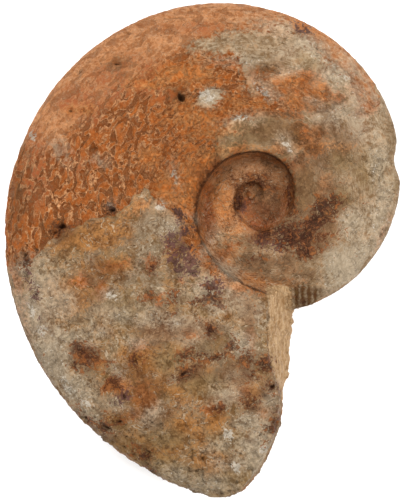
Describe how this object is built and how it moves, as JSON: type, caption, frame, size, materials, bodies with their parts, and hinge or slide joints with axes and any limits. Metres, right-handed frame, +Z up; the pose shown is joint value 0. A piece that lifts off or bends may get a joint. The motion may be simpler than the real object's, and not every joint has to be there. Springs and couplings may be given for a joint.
{
  "type": "fossil lissoceratoides ammonite",
  "caption": "Fossil ammonite lying on its flank: a compressed, coiled shell of rust and grey-tan stone with a stepped navel, sutured rear part and a broken body chamber.",
  "frame": {"origin": "middle of the outline, on the surface that the shell rests on", "axes": "+Z up, out of the flank that shows; +Y along the longest extent, from the broken body chamber towards the older whorl's top; +X to the right of the coil seen from above"},
  "size_m": [0.0559, 0.0697, 0.02],
  "materials": {
    "stone": "weathered rust-orange and grey-tan limestone, matt to faintly waxy"
  },
  "bodies": {
    "root": {"ammonite": "stone"}
  },
  "joints": []
}
